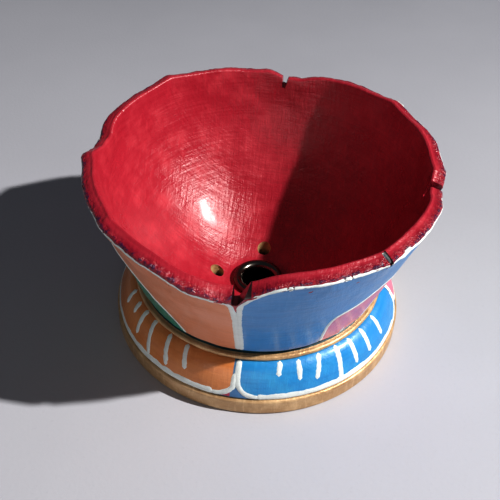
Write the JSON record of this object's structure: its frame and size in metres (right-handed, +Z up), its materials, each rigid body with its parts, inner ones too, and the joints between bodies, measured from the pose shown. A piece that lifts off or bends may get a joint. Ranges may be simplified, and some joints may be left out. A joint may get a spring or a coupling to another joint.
{
  "type": "diya oil lamp",
  "caption": "Painted wooden lotus-shaped diya cup on a turned foot, with a lift-out metal socket and drilled incense holes in its floor.",
  "frame": {"origin": "centre of the foot's underside, on the turning axis", "axes": "+Z up along the turning axis; the four rim notches lie on +X, -X, +Y and -Y, and the petal tips between them"},
  "size_m": [0.09, 0.09, 0.0531],
  "materials": {
    "painted_cup": "glossy hand-painted acrylic, crimson inside and four coloured petals outside",
    "gold_ring": "gold paint over wood",
    "painted_base": "glossy hand-painted acrylic in four coloured panels with white brush strokes",
    "gold_foot": "gold paint over wood",
    "socket_metal": "dark polished nickel"
  },
  "bodies": {
    "lamp": {"lotus_cup": "painted_cup", "waist_ring": "gold_ring", "base_drum": "painted_base", "foot_ring": "gold_foot"},
    "socket": {"socket_liner": "socket_metal"}
  },
  "joints": [
    {"name": "socket_lift", "type": "slide", "parent": "lamp", "child": "socket", "axis": [0, 0, 1], "range_m": [0, 0.056]}
  ]
}
